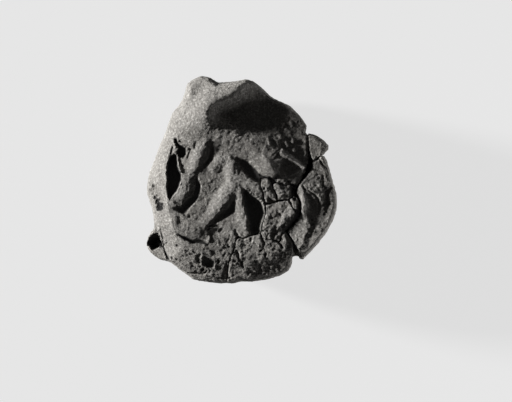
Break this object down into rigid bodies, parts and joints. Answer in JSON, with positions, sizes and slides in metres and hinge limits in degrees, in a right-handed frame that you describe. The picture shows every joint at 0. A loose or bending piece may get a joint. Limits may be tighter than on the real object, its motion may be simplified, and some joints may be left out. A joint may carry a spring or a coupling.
{
  "type": "clay bulla",
  "caption": "Dried clay lump sealing a cord, with a worn seal impression, a thumb dent, a cord channel and cracked fragments on a flat back.",
  "frame": {"origin": "in the plane of the flat underside, below the middle of the lump's outline", "axes": "+Z out of the sealed face, +Y along the impression towards the thumb dent, +X towards the main crack"},
  "size_m": [0.0402, 0.0436, 0.0225],
  "materials": {
    "face_clay": "matt dried clay, smoothed by fingers, with fine grain and small pits",
    "core_clay": "matt broken clay, granular, with crumbs and pits",
    "pad_clay": "matt dried clay with fine layers"
  },
  "bodies": {
    "root": {"back_pad": "pad_clay", "face_lump": "face_clay", "right_fragment": "face_clay", "corner_cap": "face_clay", "lower_block": "core_clay", "limb_chip": "core_clay", "right_pebble": "core_clay", "left_pebble": "core_clay", "junction_crumb": "core_clay"}
  },
  "joints": []
}
